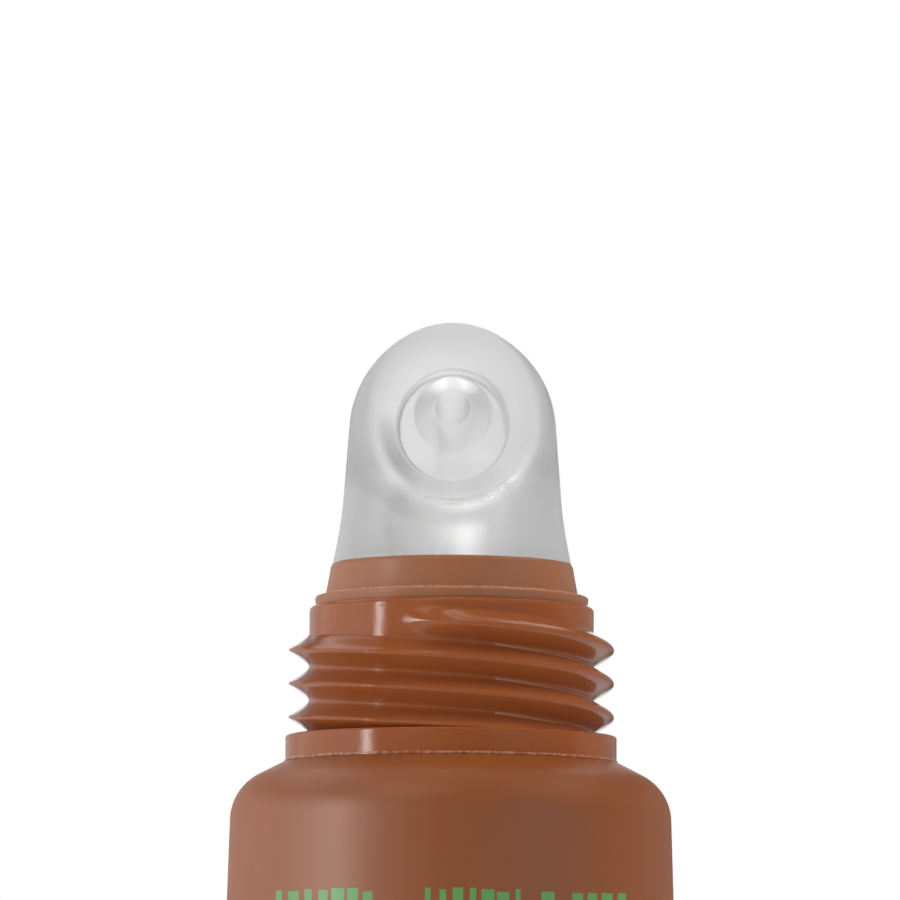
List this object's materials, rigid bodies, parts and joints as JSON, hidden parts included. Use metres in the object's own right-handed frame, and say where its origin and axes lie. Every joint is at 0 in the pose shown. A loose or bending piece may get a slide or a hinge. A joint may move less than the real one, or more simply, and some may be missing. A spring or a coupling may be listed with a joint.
{
  "type": "lip balm tube",
  "caption": "Squeeze tube for lip balm: a soft sleeve with a flat crimped end, a rigid neck with a coarse screw thread for a cap, and a slanted applicator with an outlet in its face.",
  "frame": {"origin": "middle of the crimped end, on the tube's axis", "axes": "+Z along the tube, from the crimped end up to the top of the applicator; -Y is the side that the slanted face looks to; the crimp runs along X"},
  "size_m": [0.0298, 0.019, 0.0793],
  "materials": {
    "sleeve_plastic": "satin",
    "neck_plastic": "gloss",
    "band_plastic": "satin",
    "applicator_plastic": "frosted",
    "balm": "waxy"
  },
  "bodies": {
    "root": {"tube_sleeve": "sleeve_plastic", "threaded_neck": "neck_plastic", "tip_base": "band_plastic", "applicator_tip": "applicator_plastic", "balm_fill": "balm"}
  },
  "joints": []
}
